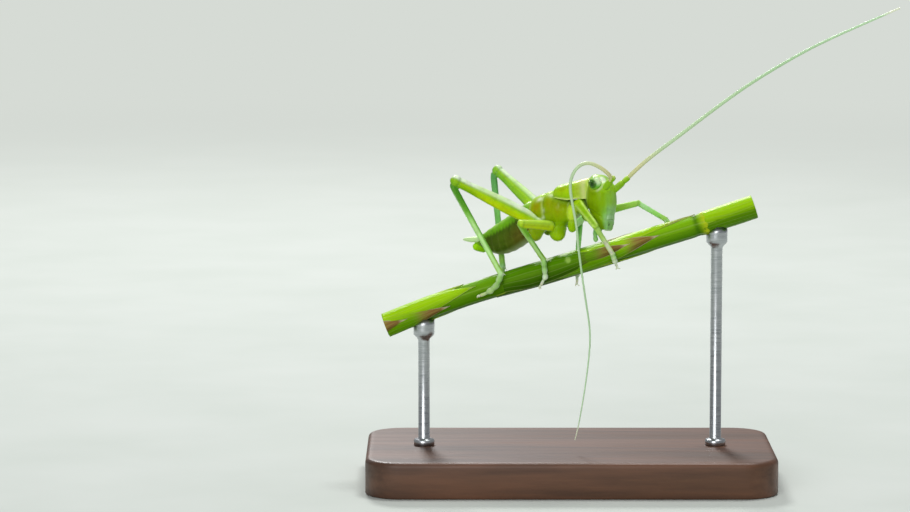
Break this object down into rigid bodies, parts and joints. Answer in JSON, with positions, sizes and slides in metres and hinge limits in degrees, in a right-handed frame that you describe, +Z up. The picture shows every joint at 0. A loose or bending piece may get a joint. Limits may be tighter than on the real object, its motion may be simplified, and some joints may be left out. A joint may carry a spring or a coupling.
{
  "type": "bush-cricket nymph",
  "caption": "Green long-horned bush-cricket nymph gripping a short cut length of jointed grass spike, held over a flat plain stand by two short rods.",
  "frame": {"origin": "centre of the stand's flat underside", "axes": "+X along the base's length, up the slope of the spike and the way the head points; +Z up; +Y from the insect's right side to its left"},
  "size_m": [0.0441, 0.018, 0.0399],
  "materials": {
    "skin": "waxy satin living skin: yellow-green body, darker head sides, olive abdomen sides, bluer shins, pale feet",
    "shield": "smooth green shield plate with a pale rim",
    "pale_skin": "satin pale green: lip plate, tail prongs, claws and spines",
    "eye": "glossy faceted green",
    "feeler": "matt pale green, ringed",
    "spike": "satin green grass with straw and pink-brown tips",
    "stand_base": "dark oiled hardwood, satin",
    "stand_rod": "fine brushed steel"
  },
  "bodies": {
    "root": {"head": "skin", "prothorax": "skin", "mesothorax": "skin", "metathorax": "skin", "pronotum": "shield", "abdomen": "skin", "tail_lobe": "skin", "palp_right": "skin", "palp_left": "skin", "labrum": "pale_skin", "cercus_right": "pale_skin", "cercus_left": "pale_skin", "eye_right": "eye", "eye_left": "eye", "antenna_right_base": "feeler", "antenna_right_arch": "feeler", "antenna_right_fall": "feeler", "antenna_right_hang": "feeler", "antenna_right_tip": "feeler", "antenna_left_base": "feeler", "antenna_left_near": "feeler", "antenna_left_mid": "feeler", "antenna_left_tip": "feeler", "coxa_fore_right": "skin", "femur_fore_right": "skin", "tibia_fore_right": "skin", "foot_fore_right": "skin", "coxa_fore_left": "skin", "femur_fore_left": "skin", "tibia_fore_left": "skin", "foot_fore_left": "skin", "coxa_mid_right": "skin", "femur_mid_right": "skin", "tibia_mid_right": "skin", "foot_mid_right": "skin", "coxa_mid_left": "skin", "femur_mid_left": "skin", "tibia_mid_left": "skin", "foot_mid_left": "skin", "coxa_hind_right": "skin", "femur_hind_right": "skin", "tibia_hind_right": "skin", "foot_hind_right": "skin", "coxa_hind_left": "skin", "femur_hind_left": "skin", "tibia_hind_left": "skin", "foot_hind_left": "skin", "perch_spike": "spike", "stand_base": "stand_base", "stand_rod_low": "stand_rod", "stand_rod_high": "stand_rod"}
  },
  "joints": []
}
